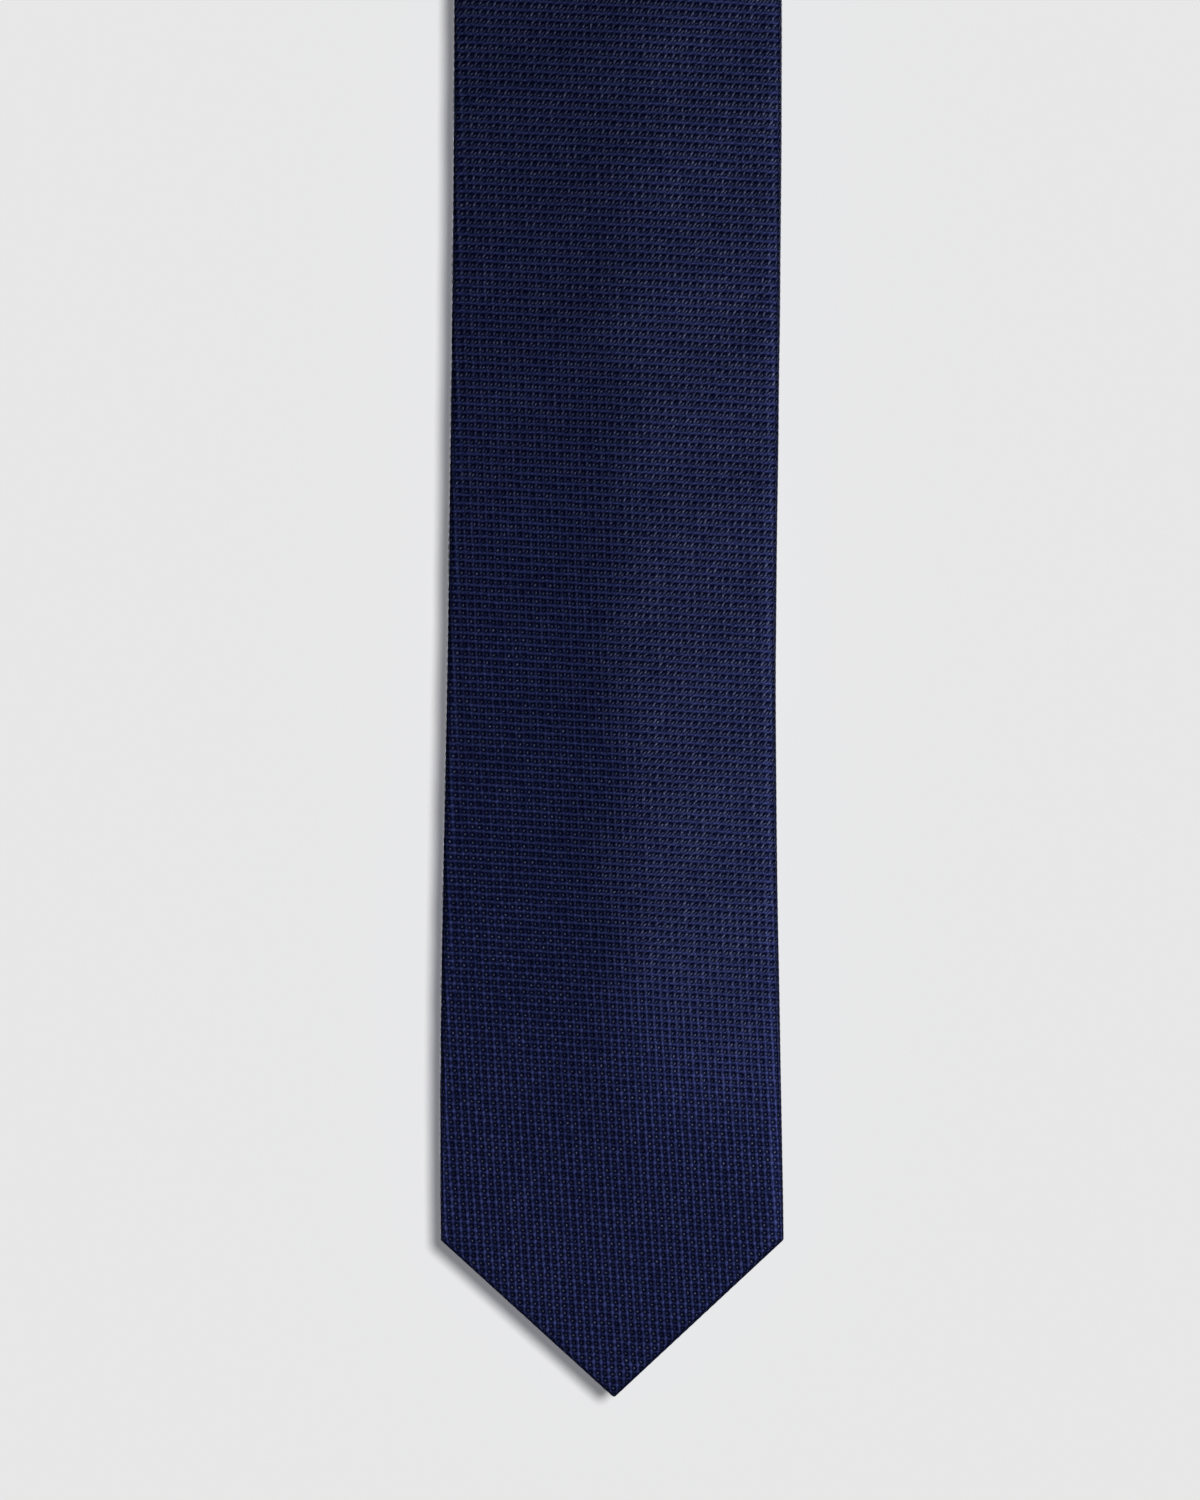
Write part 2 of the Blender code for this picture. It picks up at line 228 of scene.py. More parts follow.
def on_tie(s, x, t):
    """The points in space of places on the tie. The blade hangs in a slight bow, not dead straight."""
    s, x, t = np.broadcast_arrays(np.asarray(s, float), x, t)
    radius = RAIL_RADIUS + t
    turn = np.clip((s - BLADE_STRAIGHT) / BEND_RADIUS, 0.0, math.pi)
    below = np.maximum(BLADE_STRAIGHT - s, s - BLADE_STRAIGHT - BEND_LENGTH)
    bow = -BOW * np.sin(2 * math.pi * s / BOW_LENGTH) * (1 - smooth(*BOW_FADES, s))
    z = -RAIL_RADIUS + radius * np.sin(turn) - np.maximum(below, 0.0)
    return np.stack([x + bow, -radius * np.cos(turn), z], -1)


def on_tail(s, x, t):
    """The same, with s from the tail's own tip."""
    return on_tie(TOTAL_LENGTH - np.asarray(s, float), x, t)


def count_cells(u, s, low):
    """(columns, rows) of the weave, counted from the blade's tip, at a place in millimetres on its cloth.

    low is the part of s below STRETCH_TO, where the rows lie closer and closer.
    """
    column = CELL_ACROSS * u + CELL_LEAN * s
    row = low * (ROWS_AT_TIP - ROWS_LOST / 2 * low) + ROWS_ABOVE * (s - low)
    return column, row + ROW_LEAN * (1.0 - LEAN_LOST * low) * u


def weave_cells(u, s):
    """The same for u and s in metres."""
    return count_cells(u * MM, s * MM, np.minimum(s * MM, STRETCH_TO))


def ridge(x):
    """The blade's soft lengthwise ridge, a little left of its middle, with a faint crease beside it."""
    off = x - RIDGE_AT
    crown = np.sqrt(off * off + RIDGE_SOFTNESS**2) - RIDGE_SOFTNESS
    lean = (RISE_LEFT - FALL_RIGHT) / 2 * off
    crease = CREASE_STEP * np.tanh((x - CREASE_AT) / CREASE_SOFTNESS)
    return RIDGE_TOP - (RISE_LEFT + FALL_RIGHT) / 2 * crown + lean + crease


def ripples(s, x):
    """Slow waves of a tenth of a millimetre, so that no stretch of cloth is dead flat."""
    total = 0.0
    for height, length, width, phase in (LONG_WAVE, SHORT_WAVE):
        total = total + height * np.sin(2 * math.pi * (s / length + x / width) + phase)
    return total


class TieEnd:
    """What differs between the blade and the tail."""

    def __init__(self, place, half_width, width, tip_height, hem, open_to, seam, slope, crown):
        self.place = place
        self.half_width = half_width
        self.half = width / 2
        self.hem = hem
        self.open_to = open_to
        self.seam = seam
        self.slope = slope
        self.crown = crown
        self.tip_angle = math.atan2(self.half, tip_height)

    def tip(self, inset):
        """Where the tip of the outline drawn in by inset lies."""
        rounding = THICKNESS / 2 / math.sin(self.tip_angle) - THICKNESS / 2
        return inset / math.sin(self.tip_angle) - rounding

    def corner(self, inset):
        """(x, s) of the corner of the outline drawn in by inset."""
        x = self.half - inset
        return x, self.tip(inset) + x / math.tan(self.tip_angle)

    def flap_level(self, side, s):
        """The flap from -X goes under the other one, and comes up level with it towards the tip."""
        if side > 0:
            return OVER_FLAP
        share = smooth(FLAP_RAMP[0] * self.open_to, FLAP_RAMP[1] * self.open_to, s)
        return OVER_FLAP + (UNDER_FLAP - OVER_FLAP) * share

    def flap_edge(self, s):
        """How far from the middle the flap's edge is, on its own side. It is negative past the middle."""
        x, low = self.corner(self.hem)
        return max(x * (self.open_to - s) / (self.open_to - low), -FLAP_OVERLAP)


def blade_half_width(s):
    waist = BLADE_WIDTH - (BLADE_WIDTH - BLADE_WAIST) * smooth(WAIST_FROM, WAIST_TO, s)
    return (waist - (BLADE_WAIST - NECK_WIDTH) * smooth(TAPER_FROM, TAPER_TO, s)) / 2


def tail_half_width(s):
    return (TAIL_WIDTH - (TAIL_WIDTH - NECK_WIDTH) * smooth(0.0, TAIL_TAPER_TO, s)) / 2


def neck_crown(s, x):
    return NECK_CROWN * ridge(x * BLADE_WAIST / NECK_WIDTH)


def blade_crown(s, x):
    """How far the face stands out: flat at the tip, ridged above it, and calmer towards the neck."""
    shape = ridge(x * BLADE_WAIST / 2 / blade_half_width(s))
    swell = SWELL * np.exp(-(((s - SWELL_AT) / SWELL_LENGTH) ** 2))
    amount = smooth(*CROWN_RISE, s) * (CROWN + swell)
    amount = amount - (CROWN - NECK_CROWN) * smooth(CROWN_FALL_FROM, BLADE_SEAM, s)
    return amount * shape + smooth(*RIPPLE_RISE, s) * ripples(s, x)


def tail_crown(s, x):
    shape = ridge(-x * BLADE_WAIST / 2 / tail_half_width(s))
    return NECK_CROWN * smooth(*TAIL_CROWN_RISE, s) * (shape + ripples(s, x))


BLADE = TieEnd(
    on_tie,
    blade_half_width,
    BLADE_WIDTH,
    BLADE_TIP_HEIGHT,
    hem=0.010,
    open_to=0.105,
    seam=BLADE_SEAM - SEAM_GROOVE / 2,
    slope=1.0,
    crown=blade_crown,
)
TAIL = TieEnd(
    on_tail,
    tail_half_width,
    TAIL_WIDTH,
    TAIL_TIP_HEIGHT,
    hem=0.007,
    open_to=0.062,
    seam=TOTAL_LENGTH - TAIL_SEAM - SEAM_GROOVE / 2,
    slope=-1.0,
    crown=tail_crown,
)


def folded_half(side, s, reach, edge, level, crown, out=None):
    """Half a row of folded cloth as (s, x, t, u, v), from the middle of the face round to the flap's edge.

    reach is where the face starts to roll, and edge the (x, s) where the flap ends. out is the (x, s)
    from there to the roll's outermost place, and without it the roll goes straight sideways. u and v are
    the place on the unfolded cloth, so the weave of a flap is that of the face in a mirror.
    """
    x = reach * np.linspace(0.0, 1.0, FACE_STEPS + 1)
    along = np.full_like(x, s)
    face = np.stack([along, x, FACE_LEVEL + crown(s, side * x), x, along], -1)
    radius = (face[-1, 2] - level) / 2
    out_x, out_s = out or (roll_out(side, s), 0.0)
    ahead = np.array((out_x, out_s)) / math.hypot(out_x, out_s)
    turn = np.linspace(0.0, math.pi, ROLL_STEPS + 1)[1:]
    cloth = np.array((reach, s)) + np.outer(radius * turn, ahead)
    u, v = side * cloth[:, 0], cloth[:, 1]
    cells = np.cos(2 * math.pi * np.array(weave_cells(u, v))).sum(0)
    bulge = np.sin(turn) * (1 + SCALLOP / radius * cells / 2)
    t = level + radius * (1 + np.cos(turn))
    roll = np.column_stack([s + out_s * bulge, reach + out_x * bulge, t, cloth])
    leg = np.outer(np.linspace(0.0, 1.0, FLAP_STEPS + 1)[1:], np.subtract(edge, (reach, s)))
    cloth = cloth[-1] + leg - 2 * np.outer(leg @ ahead, ahead)
    flap = np.column_stack([s + leg[:, 1], reach + leg[:, 0], np.full(FLAP_STEPS, level), cloth])
    half = np.concatenate([face, roll, flap])
    return half * (1, side, 1, side, 1)


def folded_row(s, reaches, edge, levels, crown, out=None, shear=0.0):
    """A whole row from the flap's edge at -X to the one at +X, its two halves joined in the middle."""
    left = folded_half(-1, s, reaches[0], edge, levels[0], crown, out)
    right = folded_half(1, s, reaches[1], edge, levels[1], crown, out)
    row = np.concatenate([left[::-1], right[1:]])
    row[:, (0, 4)] += shear * row[:, 3:4]
    return row


def roll_out(side, s):
    """How far the rolled edge stands out: it is pressed tight, but for a soft roll on the left."""
    soft = smooth(*SOFT_ROLL, s) if side < 0 else 0.0
    return TIGHT_ROLL + (SOFT_ROLL_OUT - TIGHT_ROLL) * soft


def roll_reaches(half_width, s):
    """Where the face starts to roll on each side, so that the rolled edge's outside lies at half_width."""
    return [half_width - CLOTH / 2 - roll_out(side, s) for side in (-1, 1)]


def side_row(end, s, shear=0.0):
    """A row above the hem. The lowest ones slant up to where the hem's own edge ends."""
    levels = [end.flap_level(side, s) for side in (-1, 1)]
    reaches = roll_reaches(end.half_width(s), s)
    low, hem_low = end.corner(TIGHT_ROLL + CLOTH / 2)[1], end.corner(end.hem)[1]
    edge_s = s + (hem_low - low) * (1 - smooth(low, low + MITRE_FADE, s))
    return folded_row(s, reaches, (end.flap_edge(edge_s), edge_s), levels, end.crown, shear=shear)


def gusset_row(s, shear=0.0):
    levels = (UNDER_FLAP, OVER_FLAP)
    reaches = roll_reaches(NECK_WIDTH / 2, s)
    return folded_row(s, reaches, (-FLAP_OVERLAP, s), levels, neck_crown, shear=shear)


def corner_outs(start, end, count):
    """(x, s) from an inner corner to its rounded outer one, as the edge's direction turns."""
    middle = (start + end) / 2
    reach = (TIGHT_ROLL - TIP_ROUNDING) / math.cos((end - start) / 2)
    for angle in np.linspace(start, end, count):
        x = reach * math.cos(middle) + TIP_ROUNDING * math.cos(angle)
        s = reach * math.sin(middle) + TIP_ROUNDING * math.sin(angle)
        yield x, -s


def turned_in(row, depth):
    """Turns a row's cloth in towards the padding by depth, and returns the row."""
    share = np.clip((row[:, 2] - PADDING_LEVEL) / DIP_FADE, -1.0, 1.0)
    row[:, 2] -= depth * share
    row[:, 1] -= depth * (1 - np.abs(share)) * np.sign(row[:, 1])
    return row


def tuck_in(rows, last, before):
    """Turns cloth in where a cross seam ends it: fully in the last row, and a little in the one before."""
    turned_in(rows[last], SEAM_DIP)
    turned_in(rows[before], SEAM_DIP * DIP_BEFORE)


def end_rows(end, side_places):
    """The rows of the blade's or the tail's cloth, from its tip to its seam."""
    inset = TIGHT_ROLL + CLOTH / 2
    tip_s = end.tip(inset)
    corner_x, corner_s = end.corner(inset)
    hem_tip, hem_corner = np.array((0.0, end.tip(end.hem))), np.array(end.corner(end.hem))
    levels = (OVER_FLAP, OVER_FLAP)
    rows = []
    for x, s in corner_outs(math.pi - end.tip_angle, end.tip_angle, TIP_STEPS):
        if x > -1e-9:  # a row has both halves, so half of the rounded tip is enough
            rows.append(folded_row(tip_s, (0.0, 0.0), hem_tip, levels, end.crown, out=(x, s)))
    out = (TIGHT_ROLL * math.cos(end.tip_angle), -TIGHT_ROLL * math.sin(end.tip_angle))
    steps = round((corner_s - tip_s) * MM * ROWS_AT_TIP * FINE_ROWS)
    for share in np.linspace(0.0, 1.0, steps + 1):
        s = tip_s + (corner_s - tip_s) * share
        edge = hem_tip + (hem_corner - hem_tip) * share
        rows.append(folded_row(s, (corner_x * share,) * 2, edge, levels, end.crown, out=out))
    for x, s in corner_outs(end.tip_angle, 0.0, CORNER_STEPS):
        rows.append(folded_row(corner_s, (corner_x,) * 2, hem_corner, levels, end.crown, out=(x, s)))
    shear_from = end.seam - SHEAR_LENGTH
    for s in side_places:
        rows.append(side_row(end, s, end.slope * max(s - shear_from, 0.0) / SHEAR_LENGTH))
    tuck_in(rows, -1, -2)
    return rows


def spaced(start, end, step):
    """Even places from start to end, about a step apart."""
    return np.linspace(start, end, max(round(abs(end - start) / step), 1) + 1)


def weave_places(start, end):
    """Places along the blade's edge, FINE_ROWS to a row of the weave."""
    fine = spaced(start, end, 0.0001)
    rows = weave_cells(BLADE_WIDTH / 2, fine)[1] * FINE_ROWS
    return np.interp(np.arange(math.ceil(rows[0]), math.floor(rows[-1]) + 1), rows, fine)


def seam_places(seam):
    """The last rows before a cross seam, where the cloth turns in."""
    return [seam - back for back in SEAM_ROWS]


def upper_places(end, start):
    """Places from start to the cross seam, with rows close together only at the seam."""
    shear_from = end.seam - SHEAR_LENGTH
    places = [*spaced(start, shear_from, PLAIN_STEP)[1:]]
    return places + [*spaced(shear_from, end.seam - BEFORE_SEAM, PLAIN_STEP)[1:]] + seam_places(end.seam)


def new_mesh_object(name, vertices, faces, uvs, material):
    mesh = bpy.data.meshes.new(name)
    mesh.from_pydata([tuple(point) for point in vertices], [], faces)
    layer = mesh.uv_layers.new(name="cloth")
    layer.uv.foreach_set("vector", np.asarray(uvs, np.float32).ravel())
    mesh.materials.append(material)
    piece = bpy.data.objects.new(name, mesh)
    TIE.objects.link(piece)
    return piece


def finish_mesh(piece):
    """Joins points that coincide, drops faces with no area, and sets smooth shading."""
    mesh = piece.data
    work = bmesh.new()
    work.from_mesh(mesh)
    bmesh.ops.remove_doubles(work, verts=work.verts, dist=1e-6)
    bmesh.ops.dissolve_degenerate(work, edges=work.edges, dist=1e-6)
    bmesh.ops.recalc_face_normals(work, faces=work.faces)
    work.to_mesh(mesh)
    work.free()
    mesh.shade_smooth()
    mesh.set_sharp_from_angle(angle=SHARP)


def unfolded(grid):
    """(u, v) on the unfolded cloth. A plain row leaves out v, which is then its s."""
    return grid[..., 3:5] if grid.shape[-1] > 4 else grid[..., (3, 0)]


def settle(piece, body, node):
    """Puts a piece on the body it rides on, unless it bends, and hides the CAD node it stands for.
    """
    if body:
        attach(piece, body)
    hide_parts(node)


def sheet_piece(name, rows, thickness, material, body, node, place=on_tie):
    """Cloth of one thickness on rows of (s, x, t, u) or (s, x, t, u, v), as one closed mesh."""
    grid = np.array(rows)
    count, width = grid.shape[:2]
    points = place(grid[..., 0], grid[..., 1], grid[..., 2]).reshape(-1, 3)
    flat = unfolded(grid).reshape(-1, 2)
    first = (np.arange(count - 1)[:, None] * width + np.arange(width - 1)).ravel()
    faces = np.stack([first, first + 1, first + width + 1, first + width], -1)
    piece = new_mesh_object(name, points, faces.tolist(), flat[faces], material)
    finish_mesh(piece)
    solid = piece.modifiers.new("cloth thickness", "SOLIDIFY")
    solid.thickness = thickness
    solid.offset = 0.0
    solid.use_rim = True
    seen = piece.evaluated_get(bpy.context.evaluated_depsgraph_get())
    closed = bpy.data.meshes.new_from_object(seen)
    piece.modifiers.clear()
    piece.data = closed
    closed.set_sharp_from_angle(angle=SHARP)
    settle(piece, body, node)
    return piece


def flat_cut(rows):
    """The (width, length) and the area that the rows' cloth was cut to."""
    flat = unfolded(np.array(rows))
    across = flat[1:, 1:] - flat[:-1, :-1]
    up = flat[1:, :-1] - flat[:-1, 1:]
    area = np.abs(across[..., 0] * up[..., 1] - across[..., 1] * up[..., 0]).sum() / 2
    size = flat.reshape(-1, 2).max(0) - flat.reshape(-1, 2).min(0)
    return tuple(size), area


def declare_sheet(rows):
    size, area = flat_cut(rows)


# Threads


def round_path(points, step):
    """Points about a step apart on a smooth curve through the given ones."""
    points = np.asarray(points, float)
    ends = np.concatenate([2 * points[:1] - points[1:2], points, 2 * points[-1:] - points[-2:-1]])
    path = [points[:1]]
    for a, b, c, d in zip(ends, ends[1:], ends[2:], ends[3:]):
        share = spaced(0.0, 1.0, step / max(np.linalg.norm(c - b), step))[1:, None]
        bend = (2 * a - 5 * b + 4 * c - d) * share**2 + (3 * b - a - 3 * c + d) * share**3
        path.append(b + ((c - a) * share + bend) / 2)
    return np.concatenate(path)


def lengths_along(path):
    """How far along the path each of its points lies."""
    return np.concatenate([[0.0], np.linalg.norm(np.diff(path, axis=0), axis=1).cumsum()])


def strand(path, diameter, sides=8):
    """The vertices, faces and UVs of one round thread with closed ends along a path in space."""
    along = np.gradient(path, axis=0)
    along /= np.linalg.norm(along, axis=1)[:, None]
    up = np.cross(along, (0.31, 0.89, 0.33))
    up /= np.linalg.norm(up, axis=1)[:, None]
    side = np.cross(along, up)
    turn = np.arange(sides) * 2 * math.pi / sides
    ring = np.cos(turn)[:, None] * up[:, None] + np.sin(turn)[:, None] * side[:, None]
    vertices = (path[:, None] + ring * diameter / 2).reshape(-1, 3)
    length = lengths_along(path)
    around = np.arange(sides + 1) * math.pi * diameter / sides
    faces, uvs = [], []
    for step in range(len(path) - 1):
        for k in range(sides):
            first, second = step * sides + k, step * sides + (k + 1) % sides
            faces.append((first, second, second + sides, first + sides))
            uvs += [(around[k], length[step]), (around[k + 1], length[step])]
            uvs += [(around[k + 1], length[step + 1]), (around[k], length[step + 1])]
    for start in (0, len(vertices) - sides):
        faces.append(tuple(range(start, start + sides)))
        uvs += [(0.0, 0.0)] * sides
    return vertices, faces, uvs


def thread_piece(name, paths, diameter, body, node, step=0.0003):
    """One piece made of round threads through the given points."""
    vertices, faces, uvs = [], [], []
    for points in paths:
        new_vertices, new_faces, new_uvs = strand(round_path(points, step), diameter)
        faces += [tuple(v + len(vertices) for v in face) for face in new_faces]
        vertices += new_vertices.tolist()
        uvs += new_uvs
    piece = new_mesh_object(name, vertices, faces, uvs, THREAD_MATERIAL)
    piece.data.shade_smooth()
    piece.data.set_sharp_from_angle(angle=THREAD_SHARP)
    settle(piece, body, node)
    return piece


# Materials: colours as linear red, green and blue, reliefs in metres

SILK_GROUND = (0.0064, 0.0126, 0.0720)
SILK_PIT = (0.0000, 0.0005, 0.0240)
SILK_YARN = (0.134, 0.168, 0.540)
SILK_DOT = (0.310, 0.360, 0.610)
SILK_ROUGHNESS = 0.48
SILK_METALLIC = 0.6
SATIN_ROUGHNESS = 0.45
YARN_RELIEF = 0.00003
TIPPING_DARK, TIPPING_LIGHT = (0.0045, 0.0060, 0.0180), (0.026, 0.032, 0.085)
CARE_DARK, CARE_LIGHT = (0.62, 0.61, 0.58), (0.86, 0.85, 0.82)
LABEL_BLACK, LABEL_GREY = (0.0030, 0.0032, 0.0045), (0.020, 0.022, 0.032)
LABEL_BORDER = (0.050, 0.064, 0.170)
LABEL_RELIEF = 0.00006
WOOL_DARK, WOOL_LIGHT = (0.36, 0.31, 0.23), (0.72, 0.67, 0.56)
WOOL_RELIEF = 0.00015
THREAD_DARK, THREAD_LIGHT = (0.010, 0.013, 0.045), (0.075, 0.090, 0.240)
THREAD_RELIEF = 0.00004


class Field:
    """A number that varies over a surface, worked out with Python's own signs."""

    def __init__(self, socket):
        self.socket = socket

    def math(self, operation, *others):
        tree = self.socket.node.id_data
        node = tree.nodes.new("ShaderNodeMath")
        node.operation = operation
        for entry, value in zip(node.inputs, (self, *others)):
            feed(entry, value)
        return Field(node.outputs[0])

    def __add__(self, other):
        return self.math("ADD", other)

    def __sub__(self, other):
        return self.math("SUBTRACT", other)

    def __mul__(self, other):
        return self.math("MULTIPLY", other)

    __radd__ = __add__
    __rmul__ = __mul__

    def __rsub__(self, other):
        return self * -1.0 + other

    def wave(self):
        """1 where the number is whole, 0 half way between."""
        return (self * (2 * math.pi)).math("COSINE") * 0.5 + 0.5

    def part(self):
        """How far the number is from the nearest whole one."""
        return (self + 0.5).math("FRACT") - 0.5

    def whole(self):
        return (self + 0.5).math("FLOOR")

    def bump(self, width):
        """1 at 0, and a bell curve of that width round it."""
        return (self * self * (-1.0 / width**2)).math("EXPONENT")

    def between(self, low, high):
        """0 below low, 1 above high, and an even curve between them."""
        node = self.socket.node.id_data.nodes.new("ShaderNodeMapRange")
        node.interpolation_type = "SMOOTHSTEP"
        feed(node.inputs["Value"], self)
        node.inputs["From Min"].default_value = low
        node.inputs["From Max"].default_value = high
        return Field(node.outputs["Result"])


def feed(entry, value):
    if isinstance(value, Field):
        value.socket.node.id_data.links.new(value.socket, entry)
    else:
        entry.default_value = value


class Cloth:
    """A material under construction: its shader, and the cloth's own u and s in millimetres."""

    def __init__(self, name, roughness, **sockets):
        self.material = bpy.data.materials.new(name)
        self.material.use_nodes = True
        self.tree = self.material.node_tree
        self.shader = self.tree.nodes["Principled BSDF"]
        self.shader.inputs["Roughness"].default_value = roughness
        for socket, value in sockets.items():
            self.shader.inputs[socket.replace("_", " ")].default_value = value
        uv = self.tree.nodes.new("ShaderNodeUVMap")
        uv.uv_map = "cloth"
        split = self.tree.nodes.new("ShaderNodeSeparateXYZ")
        self.tree.links.new(uv.outputs["UV"], split.inputs[0])
        self.u = Field(split.outputs["X"]) * MM
        self.s = Field(split.outputs["Y"]) * MM

    def vector(self, x, y, z):
        node = self.tree.nodes.new("ShaderNodeCombineXYZ")
        for entry, value in zip(node.inputs, (x, y, z)):
            feed(entry, value)
        return node.outputs[0]

    def noise(self, x, y, seed, detail=1.0):
        """Soft noise about 0, mostly within 0.3 of it, with waves one unit of x and y long."""
        node = self.tree.nodes.new("ShaderNodeTexNoise")
        node.noise_dimensions = "3D"
        node.inputs["Scale"].default_value = 1.0
        node.inputs["Detail"].default_value = detail
        self.tree.links.new(self.vector(x, y, seed), node.inputs["Vector"])
        return Field(node.outputs[0]) - 0.5

    def dice(self, x, y, seed):
        """A number from 0 to 1 that is the same all over each cell."""
        node = self.tree.nodes.new("ShaderNodeTexWhiteNoise")
        node.noise_dimensions = "3D"
        self.tree.links.new(self.vector(x, y, seed), node.inputs["Vector"])
        return Field(node.outputs["Value"])

    def mix(self, share, low, high):
        """A colour from low to high, each a colour or another mix."""
        node = self.tree.nodes.new("ShaderNodeMix")
        node.data_type = "RGBA"
        feed(node.inputs[0], share)
        for entry, colour in ((node.inputs[6], low), (node.inputs[7], high)):
            if isinstance(colour, tuple):
                entry.default_value = (*colour, 1.0)
            else:
                self.tree.links.new(colour, entry)
        return node.outputs[2]

    def finish(self, colour, height, distance, roughness=None):
        """Links the colour and a relief whose height of 1 stands distance metres proud."""
        self.tree.links.new(colour, self.shader.inputs["Base Color"])
        if roughness:
            feed(self.shader.inputs["Roughness"], roughness)
        bump = self.tree.nodes.new("ShaderNodeBump")
        bump.inputs["Distance"].default_value = distance
        feed(bump.inputs["Height"], height)
        self.tree.links.new(bump.outputs[0], self.shader.inputs["Normal"])
        return self.material


def make_silk():
    """A navy micro-weave: rows of dark pits, each with a pale dot, in mid blue cloth.

    Near the tip the light yarns between the pits run up the cloth and are brightest where they cross the
    rows. Towards the neck and on the right the yarns lean, so that pits and dots turn into slanting strokes.
    At the upper left, away from the right zone, light yarns and dots are up to a fifth dimmer, as painted
    shade.
    """
    cloth = Cloth("navy_silk_weave", SILK_ROUGHNESS, Metallic=SILK_METALLIC, Specular_IOR_Level=0.05)
    u, s = cloth.u, cloth.s
    column, row = count_cells(u, s, s.math("MINIMUM", STRETCH_TO))

    def stray(seed, finer_seed):
        """How far the yarns stray, in cells: a slow sway, and a start from one cell to the next."""
        sway = cloth.noise(u * 0.30, s * 0.30, seed) * 0.20
        return sway + cloth.noise(u * 1.3, s * 1.3, finer_seed) * 0.26

    column = column + stray(3.0, 7.0)
    row = row + stray(11.0, 17.0)
    patch = cloth.noise(u * 0.045, s * 0.022, 23.0)
    grain = cloth.noise(u * 3.0, s * 3.0, 29.0, 2.0)
    cell = cloth.dice(column.whole(), row.whole(), 5.0)
    corner = cloth.dice((column + 0.5).whole(), (row + 0.5).whole(), 9.0)
    # Zones, each from 0 to 1: the slanting ones on the right and further up, and where rows outshine columns
    right = (u + patch * 30.0).between(-6.0, 10.0) * (s + patch * 30.0).between(50.0, 95.0)
    upper = (s + u * 0.8 + patch * 60.0).between(60.0, 260.0)
    rows = (s + patch * 40.0).between(40.0, 110.0)
    slant = right + (1.0 - right) * upper
    lean = slant * 0.9

    def spot(across, up, width, height, lean, longer=1.0):
        """A mark at that place in each cell, of that width and height in cells, leaning by lean."""
        y = (row - up).part()
        x = (column - across - y * lean).part()
        return x.bump(width) * (y * longer).bump(height)

    pit = spot(slant * 0.03, slant * 0.10 + 0.02, 0.28, 0.21, lean)
    shade = spot(slant * 0.12 + 0.05, -0.26, 0.14, 0.15, lean)
    dot = spot(slant * -0.06 - 0.04, slant * -0.15 - 0.03, 0.10, 0.11, lean, 1.0 - slant * 0.35)
    side = spot(0.5, slant * -0.04, 0.11, 0.12, lean * 0.8, 1.0 - slant * 0.55)
    node = spot(0.5, 0.5, 0.14, 0.24, 0.15)
    stroke = spot(0.06, 0.47, 0.11, 0.14, 1.0)
    band = (row + 0.5 + column.wave() * slant * 0.06).part().bump(0.14)
    line = (column + 0.5).part().bump(0.15)
    light = node * (0.95 - 0.45 * rows - 0.35 * slant) * (0.4 + 0.9 * corner) + stroke * (0.20 + 0.25 * slant)
    light = light + band * (0.14 + 0.16 * rows + 0.06 * slant) + line * (0.24 - 0.22 * rows)
    pale = side * (0.12 + 0.62 * slant) * (0.5 + 0.7 * corner)
    pale = pale + dot * (0.75 - 0.20 * slant) * (0.35 + 0.9 * cell)
    # Random grain in the light yarns and dots, times painted shade: up to a fifth dimmer at the upper left,
    # outside the right zone
    grain_and_painted_shade = (1.0 + grain * 4.5).math("MAXIMUM", 0.0) * (1.0 - 0.20 * upper * (1.0 - right))
    dark = (pit * 1.25 + shade * 0.85) * (1.0 + grain * 1.5)
    colour = cloth.mix(dark, SILK_GROUND, SILK_PIT)
    colour = cloth.mix(light * grain_and_painted_shade, colour, SILK_YARN)
    colour = cloth.mix(pale * grain_and_painted_shade, colour, SILK_DOT)
    relief = light * 0.7 + pale * 0.8 - pit * 0.4 + grain * 0.3
    return cloth.finish(colour, relief, YARN_RELIEF)


def make_satin(name, dark, light, rib, across_rib):
    """A fine satin: ribs rib millimetres apart, and slow patches of painted sheen, which are also less rough.
    """
    cloth = Cloth(name, SATIN_ROUGHNESS, Specular_IOR_Level=0.4, Anisotropic=0.4)
    u, s = cloth.u, cloth.s
    line = (u if across_rib else s) * (1.0 / rib) + cloth.noise(u * 0.2, s * 0.2, 2.0) * 0.6
    streak = cloth.noise(u * (9.0 if across_rib else 0.4), s * (0.4 if across_rib else 9.0), 5.0, 2.0)
    # Slow patches: their lighter colour is painted sheen, and the same patches are glossier
    painted_sheen_and_gloss = cloth.noise(u * 0.08, s * 0.08, 8.0, 2.0)
    share = line.wave() * 0.35 + streak * 0.8 + painted_sheen_and_gloss * 0.9 + 0.35
    colour = cloth.mix(share, dark, light)
    return cloth.finish(colour, line.wave() * 0.7 + streak, YARN_RELIEF, SATIN_ROUGHNESS - painted_sheen_and_gloss * 0.3)


